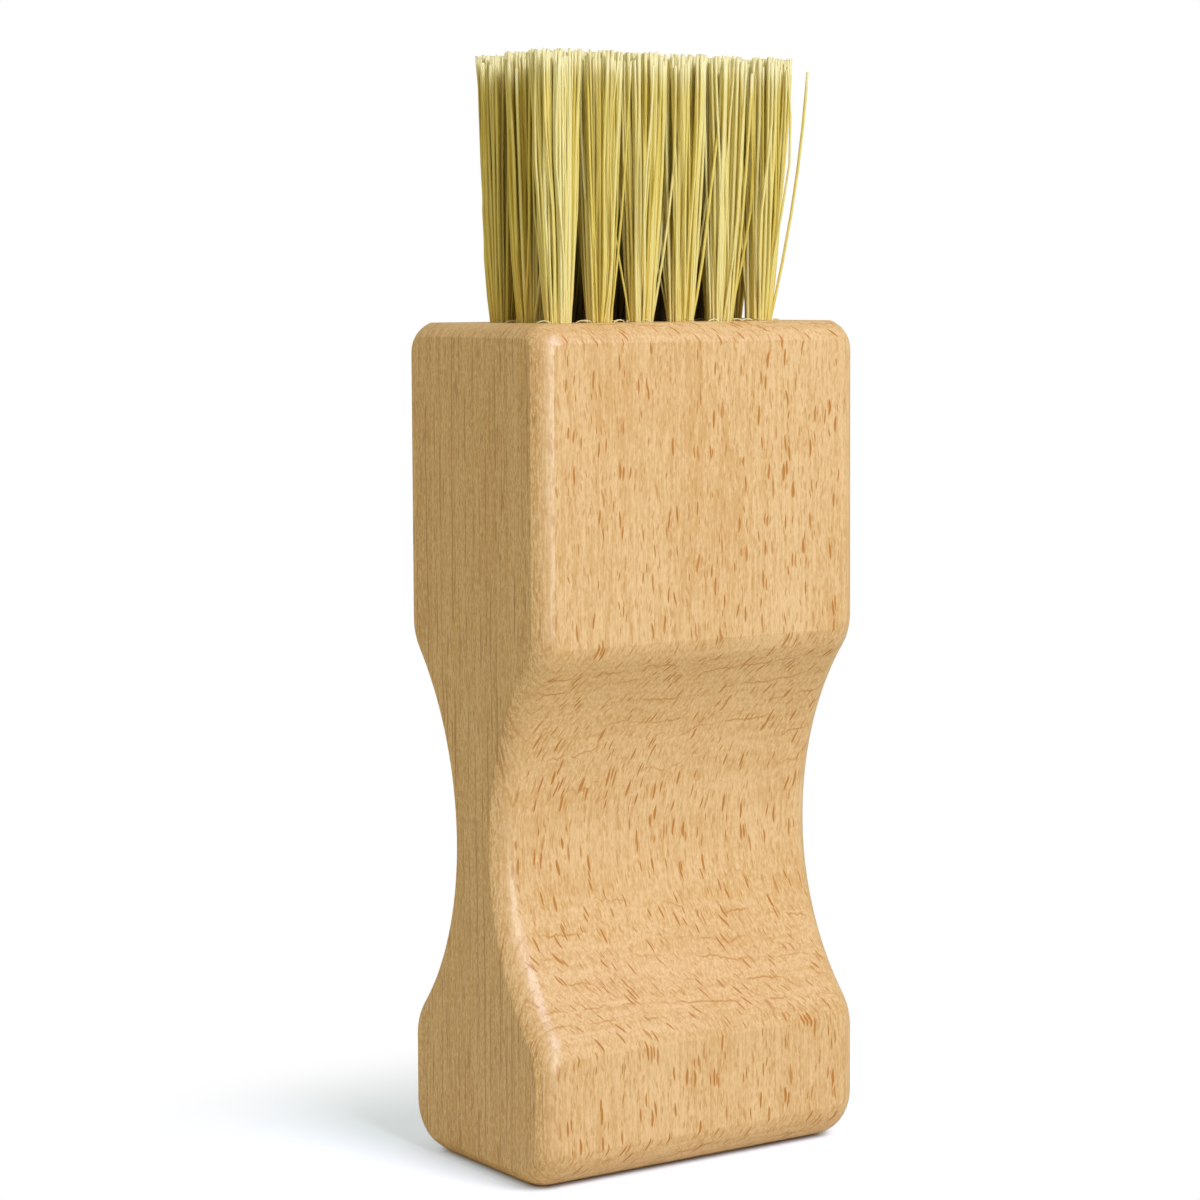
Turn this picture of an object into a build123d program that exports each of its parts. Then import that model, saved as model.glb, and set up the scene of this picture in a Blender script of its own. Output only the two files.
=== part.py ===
from build123d import *
import math
import os
import random

# A wooden block brush: an hourglass beech grip with a field of plant-fibre tufts
# drawn into blind holes in its top. Millimetres, +Z up, origin at the middle of
# the foot. X runs across the wide faces, Y through the scooped thickness.

# Grip block
block_height = 100.0
block_width = 46.0
block_depth = 29.5
grip_thickness = 11.0  # wood left between the two scoops
grip_height = 38.4  # narrowest place, above the foot
upper_scoop_radius = 34.0
lower_scoop_radius = 29.5
scoop_edge_radius = 5.0  # where a scoop runs out into the flat face
foot_edge_radius = 6.0  # under the wide faces
edge_radius = 2.7  # every other edge of the block

# Tuft field
tufts_per_row = 6
row_names = ["front", "middle", "back"]
side_margin = 8.5  # from the block's narrow sides to the outer hole centres
face_margin = 8.8  # from its wide faces to them
hole_diameter = 3.5
hole_depth = 12.0

# Tufts: each one is a bundle folded in half round its anchor
bristle_length = 31.0
tuft_clearance = 0.05  # bundle to hole wall
bundle_sides = 12
bundle_recess = 0.3  # packed part of the bundle ends this far below the mouth
strand_rings = [1, 7, 16]
strand_radius = 0.26  # a strand stands for a lock of fibres
strand_rooting = 1.2  # how far a strand runs down into the packed bundle
strand_margin = 0.1  # strands stay this far inside the packed bundle's edge
tip_spread = 1.03  # growth of the whole field from mouth to tips
tip_fill = 0.9  # share of its cell that a tuft covers at the tips
tip_squareness = 0.6  # 0 keeps the fan round, 1 fills the corners of the cell
trim_scatter = 0.35  # uneven trim of the tips

# Anchors: short flats of wire that trap the fold and bite into the hole wall
anchor_thickness = 0.45
anchor_height = 1.8
anchor_bite = 0.65  # length pressed into the wood at each end
anchor_angle = 35.0  # turned away from the row, so that the wood doesn't split
fold_thickness = 1.2  # fibre under the anchor

os.makedirs("parts", exist_ok=True)

tuft_pitch = (block_width - 2 * side_margin) / (tufts_per_row - 1)
row_pitch = (block_depth - 2 * face_margin) / (len(row_names) - 1)
hole_radius = hole_diameter / 2
bundle_radius = hole_radius - tuft_clearance
hole_floor = block_height - hole_depth
bundle_top = block_height - bundle_recess
anchor_bottom = hole_floor + fold_thickness
anchor_middle = anchor_bottom + anchor_height / 2
anchor_length = hole_diameter + 2 * anchor_bite


def row_centres(row_index):
    """Mouth centres of one row, from -X to +X."""
    y = (row_index - (len(row_names) - 1) / 2) * row_pitch
    first = -(tufts_per_row - 1) / 2 * tuft_pitch
    return [(first + column * tuft_pitch, y) for column in range(tufts_per_row)]


# Grip block ----------------------------------------------------------------
half_depth = block_depth / 2
half_grip = grip_thickness / 2
scoop_depth = half_depth - half_grip
upper_crease = grip_height + math.sqrt(scoop_depth * (2 * upper_scoop_radius - scoop_depth))
lower_crease = grip_height - math.sqrt(scoop_depth * (2 * lower_scoop_radius - scoop_depth))

with BuildPart() as handle_block:
    with BuildSketch(Plane.YZ.offset(-block_width / 2)) as side_outline:
        with BuildLine():
            Line((0, 0), (half_depth, 0))
            Line((half_depth, 0), (half_depth, lower_crease))
            TangentArc((half_grip, grip_height), (half_depth, lower_crease), tangent=(0, -1))
            TangentArc((half_grip, grip_height), (half_depth, upper_crease), tangent=(0, 1))
            Line((half_depth, upper_crease), (half_depth, block_height))
            Line((half_depth, block_height), (0, block_height))
            mirror(about=Plane.YZ)
        make_face()
        corner_levels = side_outline.vertices().group_by(Axis.Y)
        fillet(corner_levels[1] + corner_levels[3], radius=scoop_edge_radius)
        foot_level = side_outline.vertices().group_by(Axis.Y)[0].sort_by(Axis.X)
        fillet([foot_level[0], foot_level[-1]], radius=foot_edge_radius)
    extrude(amount=block_width)
    top_edges = handle_block.faces().sort_by(Axis.Z)[-1].edges()
    end_faces = handle_block.faces().sort_by(Axis.X)
    outline_edges = end_faces[0].edges() + end_faces[-1].edges() + top_edges
    fillet(set(outline_edges), radius=edge_radius)
    with Locations(Plane.XY.offset(block_height)):
        with GridLocations(tuft_pitch, row_pitch, tufts_per_row, len(row_names)):
            Hole(radius=hole_radius, depth=hole_depth)
    # seats that the anchors cut for themselves on both sides of each hole
    with Locations(Plane.XY.offset(anchor_middle)):
        with GridLocations(tuft_pitch, row_pitch, tufts_per_row, len(row_names)):
            seat_turn = (0, 0, anchor_angle)
            Box(anchor_length, anchor_thickness, anchor_height, rotation=seat_turn, mode=Mode.SUBTRACT)

handle_block.part.label = "handle_block"
export_step(handle_block.part, "parts/handle_block.step")


# Anchors ---------------------------------------------------------------------
with BuildPart() as tuft_anchors:
    with Locations(Plane.XY.offset(anchor_middle)):
        with GridLocations(tuft_pitch, row_pitch, tufts_per_row, len(row_names)):
            Box(anchor_length, anchor_thickness, anchor_height, rotation=(0, 0, anchor_angle))

tuft_anchors.part.label = "tuft_anchors"
export_step(tuft_anchors.part, "parts/tuft_anchors.step")


# Tufts -----------------------------------------------------------------------
def strand_seats():
    """Places of the strands in a packed bundle, as (share of radius, angle)."""
    seats = []
    ring_step = (bundle_radius - strand_margin - strand_radius) / (len(strand_rings) - 1)
    for ring, count in enumerate(strand_rings):
        for step in range(count):
            seats.append((ring * ring_step / bundle_radius, 2 * math.pi * (step + ring / 2) / count))
    return seats


def strand_at(centre, share, angle, trim):
    """One strand, leaning out from its seat in the bundle to its place at the tips."""
    base_x = centre[0] + share * bundle_radius * math.cos(angle)
    base_y = centre[1] + share * bundle_radius * math.sin(angle)
    corner_reach = max(abs(math.cos(angle)), abs(math.sin(angle))) ** -tip_squareness
    cell_x = tip_fill * tip_spread * tuft_pitch / 2
    cell_y = tip_fill * tip_spread * row_pitch / 2
    tip_x = centre[0] * tip_spread + share * corner_reach * cell_x * math.cos(angle)
    tip_y = centre[1] * tip_spread + share * corner_reach * cell_y * math.sin(angle)
    base_z = bundle_top - strand_rooting
    lean = Vector(tip_x - base_x, tip_y - base_y, block_height + bristle_length + trim - base_z)
    with BuildSketch(Plane.XY.offset(base_z)) as section:
        with Locations((base_x, base_y)):
            RegularPolygon(strand_radius, 3, rotation=math.degrees(angle))
    return extrude(section.sketch, amount=lean.length, dir=lean)


def make_tuft(centre, name):
    """A folded bundle: rounded fold under the anchor, packed in its hole, fanned above."""
    trims = random.Random(name)
    strands = []
    for share, angle in strand_seats():
        strands.append(strand_at(centre, share, angle, trims.uniform(-trim_scatter, 0)))
    with BuildPart() as tuft:
        with BuildSketch(Plane.XY.offset(hole_floor)):
            with Locations(centre):
                RegularPolygon(bundle_radius, bundle_sides, rotation=anchor_angle)
        extrude(amount=bundle_top - hole_floor)
        # the fold runs round the anchor's lower edge, so its bottom is a half round
        fold_plane = Plane((centre[0], centre[1], hole_floor), x_dir=fold_direction, z_dir=anchor_direction)
        with BuildSketch(fold_plane.offset(-hole_diameter)):
            with BuildLine():
                Polyline(fold_outline, close=True)
            make_face()
        extrude(amount=2 * hole_diameter, mode=Mode.INTERSECT)
        with Locations((centre[0], centre[1], anchor_middle)):
            slot_turn = (0, 0, anchor_angle)
            Box(anchor_length, anchor_thickness, anchor_height, rotation=slot_turn, mode=Mode.SUBTRACT)
        add(strands)
    tuft.part.label = name
    export_step(tuft.part, f"parts/{name}.step")
    return tuft.part


# side view of a folded bundle: a half round of flats that stands open at the top
fold_outline = [(bundle_radius, hole_depth), (-bundle_radius, hole_depth)]
for flat in range(bundle_sides // 2 + 1):
    turn = math.pi * (1 + 2 * flat / bundle_sides)
    fold_outline.append((bundle_radius * math.cos(turn), bundle_radius * (1 + math.sin(turn))))
anchor_direction = Vector(1, 0, 0).rotate(Axis.Z, anchor_angle)
fold_direction = Vector(0, 1, 0).rotate(Axis.Z, anchor_angle)
for row_index, row_name in enumerate(row_names):
    for column, centre in enumerate(row_centres(row_index)):
        make_tuft(centre, f"tuft_{row_name}_{column + 1}")
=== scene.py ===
import math
import random

import bpy
from mathutils import Matrix, Vector


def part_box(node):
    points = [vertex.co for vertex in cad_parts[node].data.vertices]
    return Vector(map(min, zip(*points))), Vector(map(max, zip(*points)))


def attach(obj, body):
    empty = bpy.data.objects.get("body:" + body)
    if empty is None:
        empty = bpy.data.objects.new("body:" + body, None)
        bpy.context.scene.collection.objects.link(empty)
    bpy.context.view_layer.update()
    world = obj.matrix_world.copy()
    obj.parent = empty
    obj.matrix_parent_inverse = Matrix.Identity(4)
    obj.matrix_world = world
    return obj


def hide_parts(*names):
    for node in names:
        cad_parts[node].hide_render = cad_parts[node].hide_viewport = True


# A beech block brush with eighteen tufts of plant fibre drawn into its top.
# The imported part's frame holds: metres, foot on Z 0, wide faces at -Y and +Y.
# Lengths in the dictionaries are in millimetres unless they say otherwise.

mm = 0.001
tiny = 1e-6  # metres, places nearer to each other than this are one place
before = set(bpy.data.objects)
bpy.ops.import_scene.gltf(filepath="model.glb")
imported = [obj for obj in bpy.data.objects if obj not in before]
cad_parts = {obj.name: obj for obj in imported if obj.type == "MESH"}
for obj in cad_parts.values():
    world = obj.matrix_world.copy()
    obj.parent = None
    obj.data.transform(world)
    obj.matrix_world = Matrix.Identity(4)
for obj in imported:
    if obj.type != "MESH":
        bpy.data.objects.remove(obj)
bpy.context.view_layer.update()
blockLow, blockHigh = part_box("handle_block")
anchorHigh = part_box("tuft_anchors")[1]
blockSize = blockHigh - blockLow
print("frame loaded:", len(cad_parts), "nodes")


def deselectAll():
    bpy.ops.object.select_all(action="DESELECT")


def makeActive(piece):
    if bpy.context.mode != "OBJECT":
        bpy.ops.object.mode_set(mode="OBJECT")
    deselectAll()
    piece.select_set(True)
    bpy.context.view_layer.objects.active = piece


def pick(piece, kind, test):
    # leaves the piece in edit mode with only the parts that pass the test selected
    makeActive(piece)
    bpy.ops.object.mode_set(mode="EDIT")
    bpy.ops.mesh.select_mode(type=kind)
    bpy.ops.mesh.select_all(action="DESELECT")
    bpy.ops.object.mode_set(mode="OBJECT")
    mesh = piece.data
    parts = {"VERT": mesh.vertices, "EDGE": mesh.edges, "FACE": mesh.polygons}[kind]
    for part in parts:
        part.select = test(mesh, part)
    bpy.ops.object.mode_set(mode="EDIT")


def edgeEnds(mesh, edge):
    return [mesh.vertices[i].co for i in edge.vertices]


def applyModifier(piece, kind, **settings):
    makeActive(piece)
    modifier = piece.modifiers.new(kind.title(), kind)
    for name, value in settings.items():
        setattr(modifier, name, value)
    bpy.ops.object.modifier_apply(modifier=modifier.name)


def settle(piece):
    # place, turn and scale go into the mesh, so that the object sits at the origin
    makeActive(piece)
    bpy.ops.object.transform_apply(location=True, rotation=True, scale=True)


def newMaterial(name):
    material = bpy.data.materials.new(name)
    material.use_nodes = True
    tree = material.node_tree
    shader = tree.nodes["Principled BSDF"]
    return material, tree, shader


def addNode(tree, kind, inputs=None, **settings):
    # inputs may be fixed values or another node's output
    node = tree.nodes.new(kind)
    for name, value in settings.items():
        setattr(node, name, value)
    for name, value in (inputs or {}).items():
        if isinstance(value, bpy.types.NodeSocket):
            tree.links.new(value, node.inputs[name])
        else:
            node.inputs[name].default_value = value
    return node


def maths(tree, operation, first, second=0.0):
    return addNode(tree, "ShaderNodeMath", {0: first, 1: second}, operation=operation).outputs[0]


def plus(tree, first, second):
    return maths(tree, "ADD", first, second)


def minus(tree, first, second):
    return maths(tree, "SUBTRACT", first, second)


def times(tree, first, second):
    return maths(tree, "MULTIPLY", first, second)


def vectorMaths(tree, operation, first, second=(0, 0, 0), output="Vector"):
    inputs = {0: first, 1: second}
    return addNode(tree, "ShaderNodeVectorMath", inputs, operation=operation).outputs[output]


def remap(tree, value, fromMin, fromMax, toMin=0.0, toMax=1.0):
    inputs = {"Value": value, "From Min": fromMin, "From Max": fromMax, "To Min": toMin, "To Max": toMax}
    return addNode(tree, "ShaderNodeMapRange", inputs, interpolation_type="SMOOTHSTEP").outputs["Result"]


def blend(tree, factor, first, second):
    # the Mix node keeps its colour sockets after those of its other data types
    inputs = {0: factor, 6: first, 7: second}
    return addNode(tree, "ShaderNodeMix", inputs, data_type="RGBA").outputs[2]


def mixShaders(tree, factor, first, second):
    return addNode(tree, "ShaderNodeMixShader", {0: factor, 1: first, 2: second}).outputs[0]


def stretched(tree, vector, cell, turn=0.0):
    # pattern space in which one unit is a cell of that size, turned about Z by degrees
    inputs = {"Vector": vector, "Rotation": (0, 0, math.radians(turn)), "Scale": [c * mm for c in cell]}
    return addNode(tree, "ShaderNodeMapping", inputs, vector_type="TEXTURE").outputs[0]


def noise(tree, vector, cell, detail, roughness, turn=0.0, output="Fac"):
    place = stretched(tree, vector, cell, turn)
    inputs = {"Vector": place, "Scale": 1.0, "Detail": detail, "Roughness": roughness}
    return addNode(tree, "ShaderNodeTexNoise", inputs).outputs[output]


# Beech: growth layers lie across Y, and ray flecks stand up in them.
# A noise is the size of its cells, its detail and its roughness.
beech = {
    "pale": (0.90, 0.610, 0.305, 1),
    "warm": (0.72, 0.415, 0.150, 1),
    "fleck": (0.56, 0.220, 0.028, 1),
    "line": (0.60, 0.265, 0.060, 1),
    "pore": (0.44, 0.185, 0.060, 1),
    "roughness": 0.31,
    "grainRoughness": 0.12,  # what the grain adds to it
    "specular": 0.5,
    # where the pattern changes
    "layerFlat": (13.8, 14.3),  # from here out the wide faces run along the layers
    "layerGrip": (5.6, 6.6),  # and from here in so does the grip
    "narrowSide": (21.8, 22.9),
    "fleckEdge": (20.0, 22.0),  # flecks fade out towards the narrow sides
    "fleckLeft": 0.2,  # what is left of them there
    # growth lines
    "layerGap": 1.35,
    "layerLean": 0.05,  # rise along X
    "layerWander": 1.5,
    "wanderNoise": ((9, 30, 42), 2.5, 0.5),
    "layerRipple": 0.68,
    "rippleNoise": ((1.6, 6, 3.5), 2.5, 0.6),
    "leastSlope": 0.1,  # below it a surface counts as lying along the layers
    "lineEdge": (0.03, 0.13),  # shares of the gap
    "lineFade": (0.44, 0.62),
    "lineFadeNoise": ((5, 1.3, 10), 2.0, 0.5),
    "lineOnFace": 0.75,
    "lineOnSide": 0.60,
    "lineOnGrip": 0.3,
    # soft tone between the lines
    "streakNoise": ((16, 0.42, 60), 3.0, 0.65),
    "streakOnFace": 0.16,
    "streakOnSide": 0.36,
    "grainNoise": ((0.34, 0.34, 5.5), 3.0, 0.6),
    "grain": 0.30,
    "speckleNoise": ((0.2, 0.2, 0.75), 2.0, 0.7),
    "speckle": 0.30,
    "speckleOnSide": 0.75,
    "cloudNoise": ((10, 10, 38), 2.0, 0.5),
    "cloud": 0.10,
    "toneBase": 0.18,
    "toneRange": (0.44, 0.63),  # pale below it, warm above
    # pores, on the narrow sides
    "strokeNoise": ((9, 0.22, 3.0), 2.0, 0.6),
    "strokeEdge": (0.55, 0.66),
    "patchNoise": ((9, 2.2, 16), 2.0, 0.5),
    "patchEdge": (0.40, 0.62),
    "patchLeast": 0.15,
    "poreCell": (3.0, 0.30, 2.4),
    "poreReach": (0.16, 0.40),
    "poreKeep": 0.6,
    "poreShare": 0.7,
    # ray flecks
    "rayTurn": 50,  # degrees from the wide face's normal
    "rayCell": (0.32, 2.6, 3.2),
    "rayReach": (0.18, 0.42),
    "rayKeep": 0.7,
    "fineRayCell": (0.21, 1.8, 1.7),
    "fineRayReach": (0.2, 0.45),
    "fineRayKeep": 0.8,
    "fineRayShare": 0.5,
    "bendNoise": ((3, 3, 4), 1.0, 0.5),
    "bend": 0.8,
    "fleckCore": 0.68,  # share of a fleck's reach that is full
    "fleckFaint": 0.35,  # range of chance over which flecks are fainter
    # relief
    "grainRelief": 0.5,
    "rayRelief": 0.7,
    "lineRelief": 0.4,
    "bumpStrength": 0.35,
    "bumpDepth": 0.06,
}


def between(tree, value, name, toMin=0.0, toMax=1.0):
    # remap from two places in the block, in mm
    return remap(tree, value, *[place * mm for place in beech[name]], toMin, toMax)


def fleckMask(tree, vector, reachRange, keep):
    # spindles of different sizes round the points of a stretched Voronoi
    cells = addNode(tree, "ShaderNodeTexVoronoi", {"Vector": vector, "Scale": 1.0, "Randomness": 1.0})
    chance = addNode(tree, "ShaderNodeSeparateColor", {"Color": cells.outputs["Color"]}).outputs
    reach = remap(tree, chance[0], 0.0, 1.0, *reachRange)
    core = times(tree, reach, beech["fleckCore"])
    body = remap(tree, cells.outputs["Distance"], core, reach, 1.0, 0.0)
    shown = remap(tree, chance[1], 1.0 - keep, 1.0 - keep + beech["fleckFaint"])
    return times(tree, body, shown)


def growthLines(tree, place, axes, normal):
    # lines at uneven gaps that wander, ripple and fade in and out
    wander = minus(tree, noise(tree, place, *beech["wanderNoise"]), 0.5)
    ripple = minus(tree, noise(tree, place, *beech["rippleNoise"]), 0.5)
    wander = times(tree, wander, beech["layerWander"] * mm)
    ripple = times(tree, ripple, beech["layerRipple"] * mm)
    layer = plus(tree, axes["Y"], plus(tree, wander, ripple))
    layer = plus(tree, layer, times(tree, axes["X"], beech["layerLean"]))
    layer = maths(tree, "DIVIDE", layer, beech["layerGap"] * mm)
    gaps = addNode(
        tree, "ShaderNodeTexVoronoi", {"W": layer, "Scale": 1.0, "Randomness": 1.0},
        voronoi_dimensions="1D", feature="DISTANCE_TO_EDGE")

    # a line keeps its width where the surface cuts the layers at a slant
    facing = addNode(tree, "ShaderNodeSeparateXYZ", {"Vector": normal}).outputs["Y"]
    slope = minus(tree, 1.0, times(tree, facing, facing))
    slope = maths(tree, "SQRT", maths(tree, "MAXIMUM", slope, beech["leastSlope"] ** 2))
    line = maths(tree, "DIVIDE", gaps.outputs["Distance"], slope)
    line = remap(tree, line, *beech["lineEdge"], 1.0, 0.0)
    fade = noise(tree, place, *beech["lineFadeNoise"])
    return times(tree, line, remap(tree, fade, *beech["lineFade"]))


def softTone(tree, place, grain, narrowSide):
    # streaks along the grain, slow clouds and a fine speckle
    streak = minus(tree, noise(tree, place, *beech["streakNoise"]), 0.5)
    streak = times(tree, streak, remap(tree, narrowSide, 0, 1, beech["streakOnFace"], beech["streakOnSide"]))
    speckle = noise(tree, place, *beech["speckleNoise"])
    tone = plus(tree, plus(tree, streak, beech["toneBase"]), times(tree, grain, beech["grain"]))
    cloud = noise(tree, place, *beech["cloudNoise"])
    tone = plus(tree, tone, times(tree, cloud, beech["cloud"]))
    tone = plus(tree, tone, times(tree, speckle, beech["speckle"]))
    extra = times(tree, minus(tree, speckle, 0.5), narrowSide)
    return plus(tree, tone, times(tree, extra, beech["speckleOnSide"]))


def poreStrokes(tree, place, narrowSide):
    # fine dark strokes that come in patches, and short pores among them
    stroke = noise(tree, place, *beech["strokeNoise"])
    patch = noise(tree, place, *beech["patchNoise"])
    patch = remap(tree, patch, *beech["patchEdge"], beech["patchLeast"], 1.0)
    stroke = times(tree, remap(tree, stroke, *beech["strokeEdge"]), patch)
    pore = fleckMask(tree, stretched(tree, place, beech["poreCell"]), beech["poreReach"], beech["poreKeep"])
    return times(tree, maths(tree, "MAXIMUM", stroke, pore), narrowSide)


def rayFlecks(tree, place, sideways):
    # strong spindles and a finer, fainter kind, both a little bent
    bend = noise(tree, place, *beech["bendNoise"], output="Color")
    bend = vectorMaths(tree, "SUBTRACT", bend, (0.5, 0.5, 0.5))
    bendInputs = {0: bend, "Scale": beech["bend"] * mm}
    bend = addNode(tree, "ShaderNodeVectorMath", bendInputs, operation="SCALE").outputs[0]
    bent = vectorMaths(tree, "ADD", place, bend)
    strongSpace = stretched(tree, bent, beech["rayCell"], beech["rayTurn"])
    fineSpace = stretched(tree, bent, beech["fineRayCell"], beech["rayTurn"])
    strong = fleckMask(tree, strongSpace, beech["rayReach"], beech["rayKeep"])
    fine = fleckMask(tree, fineSpace, beech["fineRayReach"], beech["fineRayKeep"])
    inside = between(tree, sideways, "fleckEdge", 1.0, beech["fleckLeft"])
    return times(tree, strong, inside), times(tree, fine, inside)


def makeBeech():
    material, tree, shader = newMaterial("beech")
    coordinates = addNode(tree, "ShaderNodeTexCoord").outputs
    place = coordinates["Object"]
    axes = addNode(tree, "ShaderNodeSeparateXYZ", {"Vector": place}).outputs
    sideways = maths(tree, "ABSOLUTE", axes["X"])
    outward = maths(tree, "ABSOLUTE", axes["Y"])
    narrowSide = between(tree, sideways, "narrowSide")

    # growth lines are left out of the flats that run along the layers
    onGrip = between(tree, outward, "layerGrip", beech["lineOnGrip"], 1.0)
    onGrip = maths(tree, "MAXIMUM", onGrip, narrowSide)
    offFlat = between(tree, outward, "layerFlat", 1.0, 0.0)
    line = growthLines(tree, place, axes, coordinates["Normal"])
    line = times(tree, times(tree, line, offFlat), onGrip)

    grain = noise(tree, place, *beech["grainNoise"])
    tone = softTone(tree, place, grain, narrowSide)
    stroke = poreStrokes(tree, place, narrowSide)
    strong, fine = rayFlecks(tree, place, sideways)

    colour = blend(tree, remap(tree, tone, *beech["toneRange"]), beech["pale"], beech["warm"])
    lineColour = blend(tree, narrowSide, beech["line"], beech["pore"])
    fainter = times(tree, narrowSide, beech["lineOnFace"] - beech["lineOnSide"])
    lineShare = minus(tree, beech["lineOnFace"], fainter)
    colour = blend(tree, times(tree, line, lineShare), colour, lineColour)
    colour = blend(tree, times(tree, stroke, beech["poreShare"]), colour, beech["pore"])
    colour = blend(tree, times(tree, fine, beech["fineRayShare"]), colour, beech["fleck"])
    colour = blend(tree, strong, colour, beech["fleck"])
    tree.links.new(colour, shader.inputs["Base Color"])

    rough = plus(tree, beech["roughness"], times(tree, grain, beech["grainRoughness"]))
    tree.links.new(rough, shader.inputs["Roughness"])
    shader.inputs["Specular IOR Level"].default_value = beech["specular"]

    relief = times(tree, grain, beech["grainRelief"])
    relief = minus(tree, relief, times(tree, strong, beech["rayRelief"]))
    relief = minus(tree, relief, times(tree, line, beech["lineRelief"]))
    bumpInputs = {"Height": relief, "Strength": beech["bumpStrength"], "Distance": beech["bumpDepth"] * mm}
    tree.links.new(addNode(tree, "ShaderNodeBump", bumpInputs).outputs["Normal"], shader.inputs["Normal"])
    return material


# Plant fibre: each fibre keeps its own tone, and its top is paler, partly its cut end and partly painted
# light from above
fibre = {
    "shade": (0.62, 0.44, 0.040, 1),
    "straw": (0.84, 0.68, 0.150, 1),
    "bright": (0.93, 0.83, 0.36, 1),
    "rampPlaces": (0.12, 0.5, 0.95),  # of those three colours
    "cutEndAndTipLight": (0.97, 0.89, 0.50, 1),
    "paleTopRun": (0.82, 0.98),  # shares of the fibre's run over which the paler top takes over: the cut end and painted light from above
    "paleTopShare": 0.85,
    "toneShare": 0.75,
    "mottleNoise": ((0.35, 0.35, 5), 3.0, 0.6),
    "mottle": 0.4,
    "dark": (0.030, 0.018, 0.004, 1),  # painted shade between the tufts
    "darkDepth": (1.8, 4.6),  # in from the edge of the field, where it sets in and is full
    "darkHeight": (1.0, 17.0),  # above the wood, where it is full and is gone
    "darkShare": 0.95,
    "darkMargin": 0.4,  # the field's edge lies this far outside the anchors
    "specular": 0.25,
    "roughness": 0.42,
    "mottleRoughness": 0.16,
    "bumpStrength": 0.3,
    "bumpDepth": 0.05,
}


def fibrePaintedShade(tree, place):
    # painted shade: the enclosed fibres get dark towards the wood, as the tufts shade each other there
    axes = addNode(tree, "ShaderNodeSeparateXYZ", {"Vector": place}).outputs
    depths = []
    for axis in "XY":
        edge = getattr(anchorHigh, axis.lower()) + fibre["darkMargin"] * mm
        depths.append(minus(tree, edge, maths(tree, "ABSOLUTE", axes[axis])))
    enclosed = remap(tree, maths(tree, "MINIMUM", *depths), *[depth * mm for depth in fibre["darkDepth"]])
    low, high = [blockHigh.z + height * mm for height in fibre["darkHeight"]]
    return times(tree, enclosed, remap(tree, axes["Z"], low, high, fibre["darkShare"], 0.0))


def makeFibreMaterial():
    material, tree, shader = newMaterial("plantFibre")
    place = addNode(tree, "ShaderNodeTexCoord").outputs["Object"]
    tone = addNode(tree, "ShaderNodeAttribute", attribute_name="fibreToneAndShade").outputs["Fac"]
    run = addNode(tree, "ShaderNodeAttribute", attribute_name="fibreRun").outputs["Fac"]
    mottle = noise(tree, place, *fibre["mottleNoise"])
    tone = plus(tree, times(tree, tone, fibre["toneShare"]), times(tree, mottle, fibre["mottle"]))
    ramp = addNode(tree, "ShaderNodeValToRGB", {"Fac": tone})
    low, middle, high = fibre["rampPlaces"]
    stops = ramp.color_ramp.elements
    stops[0].position, stops[0].color = low, fibre["shade"]
    stops[1].position, stops[1].color = high, fibre["bright"]
    stops.new(middle).color = fibre["straw"]
    # the top of each fibre is painted paler: its cut end and the light that falls on it from above
    paleTop = remap(tree, run, *fibre["paleTopRun"], 0.0, fibre["paleTopShare"])
    colour = blend(tree, paleTop, ramp.outputs["Color"], fibre["cutEndAndTipLight"])
    # painted shade between the tufts, darkest near the wood
    colour = blend(tree, fibrePaintedShade(tree, place), colour, fibre["dark"])
    tree.links.new(colour, shader.inputs["Base Color"])

    rough = plus(tree, fibre["roughness"], times(tree, mottle, fibre["mottleRoughness"]))
    tree.links.new(rough, shader.inputs["Roughness"])
    shader.inputs["Specular IOR Level"].default_value = fibre["specular"]
    bumpInputs = {"Height": mottle, "Strength": fibre["bumpStrength"], "Distance": fibre["bumpDepth"] * mm}
    tree.links.new(addNode(tree, "ShaderNodeBump", bumpInputs).outputs["Normal"], shader.inputs["Normal"])
    return material


# Anchor wire: drawn steel with fine lengthwise scratches
anchorWire = {
    "bright": (0.56, 0.555, 0.54, 1),
    "dull": (0.33, 0.325, 0.31, 1),
    "roughness": 0.32,
    "scratchRoughness": 0.2,
    "scratchNoise": ((2.5, 0.12, 0.12), 4.0, 0.6),
    "turn": 35,  # degrees from the rows, as the anchors lie
}


def makeWireMaterial():
    material, tree, shader = newMaterial("anchorWire")
    place = addNode(tree, "ShaderNodeTexCoord").outputs["Object"]
    scratch = noise(tree, place, *anchorWire["scratchNoise"], anchorWire["turn"])
    colour = blend(tree, scratch, anchorWire["bright"], anchorWire["dull"])
    tree.links.new(colour, shader.inputs["Base Color"])
    rough = plus(tree, anchorWire["roughness"], times(tree, scratch, anchorWire["scratchRoughness"]))
    tree.links.new(rough, shader.inputs["Roughness"])
    shader.inputs["Metallic"].default_value = 1.0
    return material


beechMaterial = makeBeech()
fibreMaterial = makeFibreMaterial()
wireMaterial = makeWireMaterial()
print("materials made")


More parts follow.
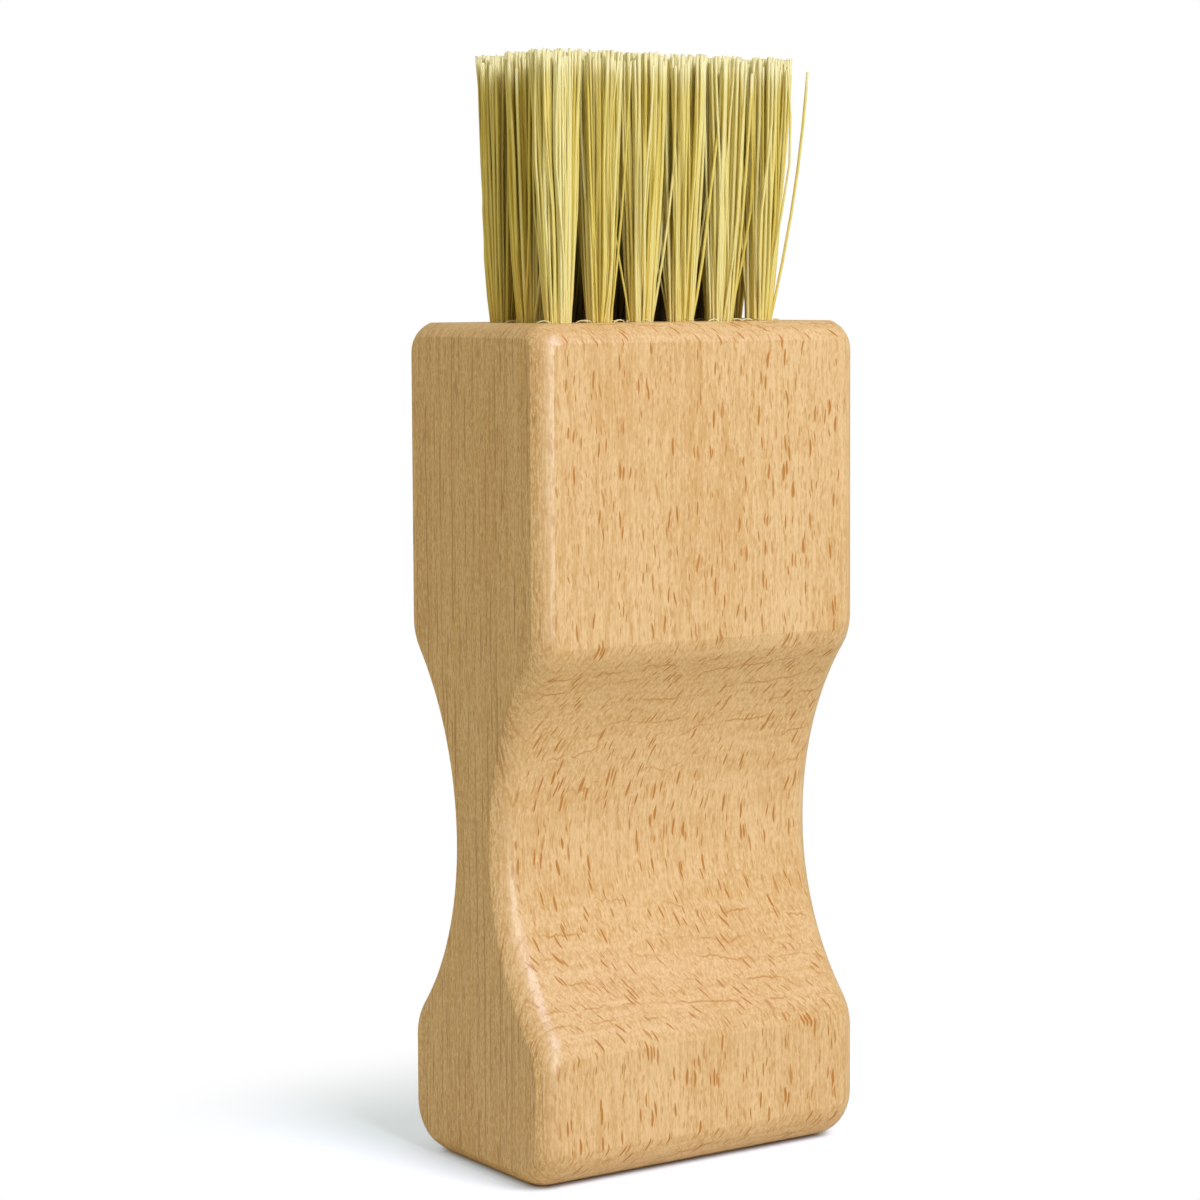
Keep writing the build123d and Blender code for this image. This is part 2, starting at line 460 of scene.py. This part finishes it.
# Grip block: a cuboid cut into levels, drawn in to its scoops and foot, rounded and planed
block = {
    "gripHeight": 38.4,
    "gripThickness": 11.0,
    "upperScoopRadius": 34.0,
    "lowerScoopRadius": 29.5,
    "creaseRadius": 7.0,
    "footRadius": 6.0,
    "scoopSteps": 18,
    "creaseSteps": 6,
    "footSteps": 10,
    "edgeRadius": 3.8,  # before the flats are planed
    "edgeSegments": 10,
    "planedSides": 0.5,  # taken off each narrow side, which leaves it a crisp arris
    "planedFaces": 0.2,  # off each wide face
    "planedTop": 0.3,
    "holeDiameter": 3.5,
    "holeDepth": 12.0,
    "holeSides": 48,
    "sideMargin": 8.5,  # narrow sides to the outer hole centres
    "faceMargin": 8.8,  # wide faces to them
    "columns": 6,
    "rows": ("front", "middle", "back"),
    "sharpFrom": 28,  # degrees between faces
}
sideMargin, faceMargin = block["sideMargin"] * mm, block["faceMargin"] * mm
pitchX = (blockSize.x - 2 * sideMargin) / (block["columns"] - 1)
pitchY = (blockSize.y - 2 * faceMargin) / (len(block["rows"]) - 1)
firstHole = Vector((blockLow.x + sideMargin, blockLow.y + faceMargin, blockHigh.z))
roughHalfX = blockSize.x / 2 + block["planedSides"] * mm
roughHalfY = blockSize.y / 2 + block["planedFaces"] * mm
roughTop = blockHigh.z + block["planedTop"] * mm


def scoopLevels(scoopRadius, way):
    # heights and half thicknesses from the grip out to the flat face, way is 1 up and -1 down
    grip = block["gripThickness"] * mm / 2
    middle = block["gripHeight"] * mm
    crease = block["creaseRadius"] * mm
    scoop = scoopRadius * mm
    depth = roughHalfY - grip
    runOut = math.sqrt(depth * (2 * (scoop + crease) - depth))  # grip height to where the flat begins
    joinAngle = math.asin(runOut / (scoop + crease))
    levels = []
    for step in range(1, block["scoopSteps"] + 1):
        angle = joinAngle * step / block["scoopSteps"]
        levels.append((middle + way * scoop * math.sin(angle), grip + scoop * (1 - math.cos(angle))))
    for step in range(1, block["creaseSteps"] + 1):
        angle = joinAngle * (1 - step / block["creaseSteps"])
        height = middle + way * (runOut - crease * math.sin(angle))
        levels.append((height, roughHalfY - crease * (1 - math.cos(angle))))
    return levels


def footLevels():
    # quarter rounds under both wide faces
    foot = block["footRadius"] * mm
    levels = []
    for step in range(block["footSteps"] + 1):
        angle = math.pi / 2 * step / block["footSteps"]
        levels.append((foot * (1 - math.cos(angle)), roughHalfY - foot * (1 - math.sin(angle))))
    return levels


def crossesNarrowSide(mesh, edge):
    first, second = edgeEnds(mesh, edge)
    inside = blockLow.z + tiny < first.z < roughTop - tiny
    return inside and abs(first.z - second.z) < tiny and abs(first.x - second.x) < tiny


def getsRounded(mesh, edge):
    # every edge does but those under the wide faces, which are round already
    first, second = edgeEnds(mesh, edge)
    onEnd = abs(first.x - second.x) < tiny
    level = abs(first.z - second.z) < tiny
    alongTop = min(first.z, second.z) > roughTop - tiny
    alongFoot = max(first.z, second.z) < blockLow.z + tiny
    return alongTop or (onEnd and (alongFoot or not level))


def boundsPlanedFlat(mesh, edge):
    first, second = edgeEnds(mesh, edge)
    onTop = min(first.z, second.z) > blockHigh.z - tiny
    onFace = min(first.y * first.y, first.y * second.y) > (blockSize.y / 2 - tiny) ** 2
    return onTop or onFace


def makeBlock():
    bpy.ops.mesh.primitive_cube_add(
        size=2, location=(0, 0, roughTop / 2), scale=(roughHalfX, roughHalfY, roughTop / 2))
    gripBlock = bpy.context.object
    gripBlock.name = "gripBlock"
    settle(gripBlock)

    levels = [(block["gripHeight"] * mm, block["gripThickness"] * mm / 2)]
    levels += scoopLevels(block["upperScoopRadius"], 1)
    levels += scoopLevels(block["lowerScoopRadius"], -1)
    levels += footLevels()
    bpy.ops.object.mode_set(mode="EDIT")
    for height, halfThickness in levels:
        bpy.ops.mesh.select_all(action="SELECT")
        bpy.ops.mesh.bisect(plane_co=(0, 0, height), plane_no=(0, 0, 1))
    for height, halfThickness in levels:
        pick(gripBlock, "VERT", lambda mesh, vert: abs(vert.co.z - height) < tiny)
        share = halfThickness / roughHalfY
        bpy.ops.transform.resize(value=(1, share, 1), center_override=(0, 0, height))
    pick(gripBlock, "EDGE", crossesNarrowSide)
    bpy.ops.mesh.dissolve_edges(use_verts=False)
    bpy.ops.object.mode_set(mode="OBJECT")
    return gripBlock


def roundEdges(gripBlock):
    mesh = gripBlock.data
    weights = mesh.attributes.new("bevel_weight_edge", "FLOAT", "EDGE")
    for edge in mesh.edges:
        weights.data[edge.index].value = float(getsRounded(mesh, edge))
    applyModifier(
        gripBlock, "BEVEL", width=block["edgeRadius"] * mm, limit_method="WEIGHT",
        segments=block["edgeSegments"], use_clamp_overlap=False)


def planeFlats(gripBlock):
    # wide faces first, then the top, then the narrow sides
    cuts = [((0, side * blockSize.y / 2, 0), (0, side, 0)) for side in (-1, 1)]
    cuts.append((blockHigh, (0, 0, 1)))
    cuts += [((side * blockSize.x / 2, 0, 0), (side, 0, 0)) for side in (-1, 1)]
    makeActive(gripBlock)
    bpy.ops.object.mode_set(mode="EDIT")
    for place, facing in cuts:
        bpy.ops.mesh.select_all(action="SELECT")
        bpy.ops.mesh.bisect(
            plane_co=place, plane_no=facing, use_fill=True, clear_outer=True, threshold=tiny)
    bpy.ops.object.mode_set(mode="OBJECT")


def drillHoles(gripBlock):
    radius = block["holeDiameter"] * mm / 2
    depth = block["holeDepth"] * mm
    bpy.ops.mesh.primitive_cylinder_add(
        vertices=block["holeSides"], radius=radius, depth=2 * depth, location=firstHole)
    drill = bpy.context.object
    settle(drill)
    for copies, step in ((block["columns"], (pitchX, 0, 0)), (len(block["rows"]), (0, pitchY, 0))):
        applyModifier(
            drill, "ARRAY", count=copies, use_relative_offset=False,
            use_constant_offset=True, constant_offset_displace=step)
    applyModifier(gripBlock, "BOOLEAN", operation="DIFFERENCE", object=drill, solver="EXACT")
    bpy.data.objects.remove(drill)


def finishBlock(gripBlock):
    # smooth rounds between flats with crisp outlines
    makeActive(gripBlock)
    bpy.ops.object.mode_set(mode="EDIT")
    bpy.ops.mesh.select_all(action="DESELECT")
    bpy.ops.mesh.edges_select_sharp(sharpness=math.radians(block["sharpFrom"]))
    bpy.ops.mesh.mark_sharp()
    pick(gripBlock, "EDGE", boundsPlanedFlat)
    bpy.ops.mesh.mark_sharp()
    bpy.ops.object.mode_set(mode="OBJECT")
    bpy.ops.object.shade_smooth()
    applyModifier(gripBlock, "WEIGHTED_NORMAL", keep_sharp=True, weight=100)
    gripBlock.data.materials.clear()
    gripBlock.data.materials.append(beechMaterial)
    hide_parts("handle_block")
    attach(gripBlock, "root")


gripBlock = makeBlock()
roundEdges(gripBlock)
planeFlats(gripBlock)
drillHoles(gripBlock)
finishBlock(gripBlock)
print("grip block made:", len(gripBlock.data.polygons), "faces")


# Tufts: bundles of fibres that fold round their anchors and fan out above the wood
tuft = {
    "fibres": 128,
    "length": 31.5,
    "packedRadius": 1.68,
    "fibreRadius": 0.165,
    "thickness": (0.75, 1.3),  # shares of that radius
    "anchorTurn": 35,  # degrees from the row
    "anchorHalf": 0.42,  # no fibre passes the anchor nearer to its middle plane
    "overAnchor": 0.4,  # from here up a fibre makes for its place in the mouth
    "offFloor": 1.4,  # fibre radii between the hole's floor and the fold
    "fieldSpread": 1.055,  # the outer tufts lean out along X
    "leanX": 0.6,
    "drawInY": 0.97,
    "reachX": 3.15,  # how far a fan reaches from its centre at the tips
    "reachY": 2.75,
    "squareness": 0.6,
    "locks": 14,
    "gather": 0.2,  # how far a lock's fibres close up at the tips
    "lockScatter": 0.3,
    "lockTone": 0.12,
    "turnScatter": 0.2,  # radians
    "flare": 0.5,  # how much quicker a fan opens at first
    "tipScatter": 0.22,
    "trim": 1.6,
    "trimBias": 1.7,  # most fibres end near the full length
    "outermost": 0.8,  # share of the bundle's radius that strays start from
    "strays": 0.3,  # share of the fibres out there
    "strayReach": (0.7, 3.2),
    "strayDrop": 1.2,
    "straySway": 2,
    "fieldReach": ((-17.8, 20.2), (-9.5, 8.9)),  # no stray's tip lies outside this along X and Y
    "sway": 0.26,
    "swayTurn": 5.0,  # radians along a fibre
    "swayEase": 1.2,  # the nearer to 1, the stiller the tips
    "tone": (0.32, 0.68),  # of the middle fibres and of the outermost; the middle ones darker, a painted shade inside the bundle
    "toneScatter": 0.18,
    "steps": (0.1, 0.24, 0.42, 0.6, 0.78, 0.92, 1.0),  # shares of the free length with a point
    "endLength": 0.04,
    "endThickness": 0.02,
}

# Broken fibres that curl over the rims of the holes
curl = {
    "count": 4,
    "radius": (0.3, 0.6),
    "turn": (195, 205),  # degrees
    "drift": 0.9,
    "flatness": 0.5,
    "sunk": 0.3,
    "offBundle": 0.05,
    "thickness": (0.3, 0.5),
    "tone": 1.3,
}
foldTurn = math.radians(tuft["anchorTurn"])
goldenTurn = math.pi * (3 - math.sqrt(5))


def seatAt(reach, angle):
    return Vector((reach * math.cos(angle), reach * math.sin(angle), 0))


def scatter(dice, spread):
    return Vector((dice.gauss(0, spread), dice.gauss(0, spread), 0)) * mm


def fanTip(centre, reach, angle):
    # where a fibre of that seat ends above the mouth, before scatter and trim
    square = max(abs(math.cos(angle)), abs(math.sin(angle))) ** -tuft["squareness"]
    acrossX, acrossY = reach * math.cos(angle) * square, reach * math.sin(angle) * square
    return Vector((
        centre.x * tuft["fieldSpread"] + (acrossX * tuft["reachX"] + tuft["leanX"]) * mm,
        centre.y * tuft["drawInY"] + acrossY * tuft["reachY"] * mm,
        centre.z + tuft["length"] * mm,
    ))


def makeLocks(centre, dice):
    # loose groups of fibres: each has a seat in the bundle and a tip to gather at
    locks = []
    for count in range(tuft["locks"]):
        reach, angle = math.sqrt(dice.random()), dice.uniform(0, 2 * math.pi)
        tip = fanTip(centre, reach, angle) + scatter(dice, tuft["lockScatter"])
        locks.append({"seat": seatAt(reach, angle), "tip": tip, "tone": dice.gauss(0, tuft["lockTone"])})
    return locks


def foldedPart(centre, base):
    # inside the hole: up round the fold and past the anchor
    packed = tuft["packedRadius"] * mm
    sideways = Vector((-math.sin(foldTurn), math.cos(foldTurn), 0))
    side = (base - centre).dot(sideways)
    push = math.copysign(max(abs(side), tuft["anchorHalf"] * mm), side or 1.0) - side
    rise = packed - math.sqrt(max(packed ** 2 - side ** 2, 0))
    bottom = centre.z - block["holeDepth"] * mm + rise + tuft["fibreRadius"] * mm * tuft["offFloor"]
    aboveAnchor = anchorHigh.z + tuft["overAnchor"] * mm
    return [Vector((base.x, base.y, height)) + sideways * push for height in (bottom, aboveAnchor)]


def fibrePath(centre, reach, angle, lock, dice):
    seat = seatAt(reach, angle)
    base = centre + seat * tuft["packedRadius"] * mm
    tip = fanTip(centre, reach, angle).lerp(lock["tip"], tuft["gather"])
    tip += scatter(dice, tuft["tipScatter"])
    tip.z = centre.z + (tuft["length"] - tuft["trim"] * dice.random() ** tuft["trimBias"]) * mm
    sway = tuft["sway"]
    if reach > tuft["outermost"] and dice.random() < tuft["strays"]:
        push = seat + Vector((dice.uniform(-1, 1), 0, 0))
        tip += push.normalized() * dice.uniform(*tuft["strayReach"]) * mm
        for axis, (least, most) in enumerate(tuft["fieldReach"]):
            tip[axis] = min(max(tip[axis], least * mm), most * mm)
        tip.z -= dice.uniform(0, tuft["strayDrop"]) * mm
        sway *= tuft["straySway"]

    points = foldedPart(centre, base) + [base.copy()]
    wave = scatter(dice, sway)
    phase = dice.uniform(0, 2 * math.pi)
    for share in tuft["steps"]:
        across = base.lerp(tip, share * (1 + tuft["flare"] - tuft["flare"] * share))
        swing = math.sin(phase + share * tuft["swayTurn"]) * share * (tuft["swayEase"] - share) * 2
        points.append(Vector((across.x, across.y, base.z + (tip.z - base.z) * share)) + wave * swing)
    return points


def layFibre(count, centre, locks, dice):
    reach = math.sqrt((count + 0.5) / tuft["fibres"]) * (1 - tuft["fibreRadius"] / tuft["packedRadius"])
    angle = count * goldenTurn + dice.uniform(-tuft["turnScatter"], tuft["turnScatter"])
    seat = seatAt(reach, angle)
    lock = min(locks, key=lambda lock: (lock["seat"] - seat).length)
    points = fibrePath(centre, reach, angle, lock, dice)
    thickness = dice.uniform(*tuft["thickness"])
    middle, outermost = tuft["tone"]
    # besides a random tone, fibres in the middle of the bundle are painted darker, as shade
    tone = dice.gauss(middle + (outermost - middle) * reach, tuft["toneScatter"]) + lock["tone"]
    return {"points": points, "thickness": thickness, "tone": min(max(tone, 0), 1)}


def layCurl(centre, dice):
    angle = dice.uniform(0, 2 * math.pi)
    radius = dice.uniform(*curl["radius"]) * mm
    outward = seatAt(1.0, angle)
    along = Vector((-outward.y, outward.x, 0)) * dice.choice((-1, 1))
    sunk = curl["sunk"] * mm
    start = centre + outward * (tuft["packedRadius"] + curl["offBundle"]) * mm - Vector((0, 0, sunk))
    points = []
    count = len(tuft["steps"]) + 3  # as many as a fibre has
    for step in range(count):
        turn = math.radians(dice.uniform(*curl["turn"])) * step / (count - 1)
        spot = start + outward * radius * (1 - math.cos(turn)) + along * radius * curl["drift"] * turn
        rise = sunk + radius * math.sin(turn) * curl["flatness"] if step else 0
        points.append(spot + Vector((0, 0, rise)))
    return {"points": points, "thickness": dice.uniform(*curl["thickness"]), "tone": curl["tone"]}


def beyond(last, before):
    return last + (last - before).normalized() * tuft["endLength"] * mm


def spinFibres(name, fibres):
    # every fibre is a tube along its points, and draws in to a tiny ring at both ends
    lines = bpy.data.curves.new(name, "CURVE")
    lines.dimensions = "3D"
    lines.bevel_depth = tuft["fibreRadius"] * mm
    lines.bevel_resolution = 1
    for laid in fibres:
        points = laid["points"]
        points = [beyond(points[0], points[1]), *points, beyond(points[-1], points[-2])]
        spline = lines.splines.new("POLY")
        spline.points.add(len(points) - 1)
        for point, spot in zip(spline.points, points):
            point.co = (*spot, 1)
            point.radius = laid["thickness"]
        spline.points[0].radius = spline.points[-1].radius = tuft["endThickness"]
    piece = bpy.data.objects.new("bristles_" + name, lines)
    bpy.context.scene.collection.objects.link(piece)
    makeActive(piece)
    bpy.ops.object.convert(target="MESH")
    piece = bpy.context.object
    bpy.ops.object.mode_set(mode="EDIT")
    bpy.ops.mesh.select_all(action="SELECT")
    bpy.ops.mesh.fill_holes(sides=0)
    bpy.ops.object.mode_set(mode="OBJECT")
    return piece


def toneFibres(piece, fibres):
    # each fibre's tone, darker in the middle of a bundle as painted shade, and its run from 0 at the fold to
    # 1 at the tip, where curls are all over
    mesh = piece.data
    toneLayer = mesh.attributes.new("fibreToneAndShade", "FLOAT", "POINT")
    runLayer = mesh.attributes.new("fibreRun", "FLOAT", "POINT")
    lastRing = len(fibres[0]["points"]) + 1
    perFibre = len(mesh.vertices) // len(fibres)
    perRing = perFibre // (lastRing + 1)
    for index in range(len(mesh.vertices)):
        number, corner = divmod(index, perFibre)
        run = (corner // perRing - 1) / (lastRing - 2)
        toneLayer.data[index].value = fibres[number]["tone"]
        runLayer.data[index].value = min(max(run, 0.0), 1.0) if number < tuft["fibres"] else 1.0


def makeTuft(name, centre):
    dice = random.Random(name)
    locks = makeLocks(centre, dice)
    fibres = [layFibre(count, centre, locks, dice) for count in range(tuft["fibres"])]
    fibres += [layCurl(centre, dice) for count in range(curl["count"])]
    piece = spinFibres(name, fibres)
    toneFibres(piece, fibres)
    bpy.ops.object.shade_smooth()
    piece.data.materials.clear()
    piece.data.materials.append(fibreMaterial)
    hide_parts(name)
    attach(piece, "root")
    return piece


tuftPieces = []
for rowIndex, rowName in enumerate(block["rows"]):
    for column in range(block["columns"]):
        mouth = firstHole + Vector((column * pitchX, rowIndex * pitchY, 0))
        tuftPieces.append(makeTuft(f"tuft_{rowName}_{column + 1}", mouth))
print("tufts made:", len(tuftPieces), "with", len(tuftPieces[0].data.vertices), "vertices each")

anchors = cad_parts["tuft_anchors"]
anchors.material_slots[0].material = wireMaterial


# Floor: the camera sees it as white paper that keeps the block's shadow
floorPaper = {
    "size": 8000,
    "colour": (0.82, 0.82, 0.70, 1),  # what lights the block from below
    "seenColour": (0.96, 0.89, 0.84, 1),  # what the camera sees of the light on it
    "seenGlow": (0.29, 0.395, 0.50, 1),  # plain white that it sees besides
    "contact": (1.2, 3.4, 10.0),  # out from the foot, where that white starts, is mostly there, is full; held back nearer, it leaves a painted contact shadow next to the foot
    "contactShares": (0.9, 0.1),
    "shadowReach": (12.0, 52.0),  # out from the foot, where the shadow dies away
}


def footGap(tree, place):
    # how far a place on the floor lies from the block's foot
    halfX = blockSize.x / 2 - block["edgeRadius"] * mm
    halfY = blockSize.y / 2 - block["footRadius"] * mm
    gap = vectorMaths(tree, "ABSOLUTE", place)
    gap = vectorMaths(tree, "SUBTRACT", gap, (halfX, halfY, 0))
    gap = vectorMaths(tree, "MAXIMUM", gap, (0, 0, 0))
    return vectorMaths(tree, "LENGTH", gap, output="Value")


def makeFloor():
    bpy.ops.mesh.primitive_plane_add(size=floorPaper["size"] * mm, location=(0, 0, blockLow.z))
    floor = bpy.context.object
    floor.name = "floor"
    material = bpy.data.materials.new("floorWhite")
    material.use_nodes = True
    tree = material.node_tree
    tree.nodes.clear()
    gap = footGap(tree, addNode(tree, "ShaderNodeTexCoord").outputs["Object"])
    start, most, full = [reach * mm for reach in floorPaper["contact"]]
    first, second = floorPaper["contactShares"]
    # the glow is held back next to the foot, which paints a dark contact shadow there
    near = times(tree, remap(tree, gap, start, most), first)
    near = plus(tree, near, remap(tree, gap, most, full, 0.0, second))
    far = remap(tree, gap, *[reach * mm for reach in floorPaper["shadowReach"]])

    matt = addNode(tree, "ShaderNodeBsdfDiffuse", {"Color": floorPaper["colour"]}).outputs[0]
    seenMatt = addNode(tree, "ShaderNodeBsdfDiffuse", {"Color": floorPaper["seenColour"]}).outputs[0]
    glow = addNode(tree, "ShaderNodeEmission", {"Color": floorPaper["seenGlow"], "Strength": near}).outputs[0]
    white = addNode(tree, "ShaderNodeEmission", {"Color": (1, 1, 1, 1), "Strength": 1.0}).outputs[0]
    lit = addNode(tree, "ShaderNodeAddShader", {0: seenMatt, 1: glow}).outputs[0]
    camera = addNode(tree, "ShaderNodeLightPath").outputs["Is Camera Ray"]
    surface = mixShaders(tree, camera, matt, mixShaders(tree, far, lit, white))
    addNode(tree, "ShaderNodeOutputMaterial", {"Surface": surface})
    floor.data.materials.append(material)


# Light: a soft room and two lamps, with places and sizes in metres
room = {
    "colour": (0.985, 0.93, 0.62, 1),
    "around": 0.56,  # light from the height of the horizon
    "overhead": 0.28,
    "heights": (0.1, 0.9),  # from the one to the other
    "behind": 0.2,  # how much more of it comes from behind
}
lampAim = Vector((0, 0, 0.06))
lamps = {
    "keyLamp": {
        "place": (0.10, -0.78, 0.82),
        "size": (0.5, 0.5),
        "power": 7.5,
        "colour": (1.0, 1.05, 1.33),
        "sheenOnly": False,
    },
    "stripLamp": {
        "place": (-0.187, -0.88, 0.2),
        "size": (0.24, 0.4),
        "power": 4.6,
        "colour": (1.0, 1.0, 1.0),
        "sheenOnly": True,  # it draws the light line down the front edge
    },
}


def makeRoom():
    world = bpy.data.worlds.new("softRoom")
    bpy.context.scene.world = world
    world.use_nodes = True
    tree = world.node_tree
    tree.nodes.clear()
    toward = addNode(tree, "ShaderNodeTexCoord").outputs["Generated"]
    toward = addNode(tree, "ShaderNodeSeparateXYZ", {"Vector": toward}).outputs
    strength = remap(tree, toward["Z"], *room["heights"], room["around"], room["overhead"])
    behind = remap(tree, toward["Y"], -1.0, 1.0, 1 - room["behind"], 1 + room["behind"])
    strength = times(tree, strength, behind)
    soft = addNode(tree, "ShaderNodeBackground", {"Color": room["colour"], "Strength": strength}).outputs[0]
    white = addNode(tree, "ShaderNodeBackground", {"Color": (1, 1, 1, 1), "Strength": 1.0}).outputs[0]
    path = addNode(tree, "ShaderNodeLightPath").outputs
    seen = maths(tree, "MAXIMUM", path["Is Camera Ray"], path["Is Transmission Ray"])
    addNode(tree, "ShaderNodeOutputWorld", {"Surface": mixShaders(tree, seen, soft, white)})


def addLamp(name, settings):
    place = Vector(settings["place"])
    turn = (lampAim - place).to_track_quat("-Z", "Y").to_euler()
    bpy.ops.object.light_add(type="AREA", location=place, rotation=turn)
    lamp = bpy.context.object
    lamp.name = name
    lamp.visible_diffuse = not settings["sheenOnly"]
    lamp.data.shape = "ELLIPSE"
    lamp.data.size, lamp.data.size_y = settings["size"]
    lamp.data.energy = settings["power"]
    lamp.data.color = settings["colour"]


view = {
    "turn": 34.1,  # degrees round from the wide face towards the narrow one
    "pitch": 4.08,
    "roll": -0.3,
    "distance": 384.8,
    "across": -3.92,
    "height": 104.06,
    "lens": 96.04,
    "sensor": 36,
    "shiftY": -0.07,
    "clip": (10, 20000),
}


def makeCamera():
    turn = math.radians(view["turn"])
    ahead = Vector((math.sin(turn), math.cos(turn), 0))
    right = Vector((math.cos(turn), -math.sin(turn), 0))
    place = (-ahead * view["distance"] + right * view["across"] + Vector((0, 0, view["height"]))) * mm
    turned = (
        Matrix.Rotation(-turn, 4, "Z")
        @ Matrix.Rotation(math.radians(90 - view["pitch"]), 4, "X")
        @ Matrix.Rotation(math.radians(view["roll"]), 4, "Z")
    )
    bpy.ops.object.camera_add(location=place, rotation=turned.to_euler())
    camera = bpy.context.object
    camera.data.lens = view["lens"]
    camera.data.sensor_width = view["sensor"]
    camera.data.shift_y = view["shiftY"]
    camera.data.clip_start, camera.data.clip_end = [length * mm for length in view["clip"]]
    bpy.context.scene.camera = camera


makeFloor()
makeRoom()
for name, settings in lamps.items():
    addLamp(name, settings)
makeCamera()
bpy.context.scene.view_settings.view_transform = "Standard"
print("studio set")
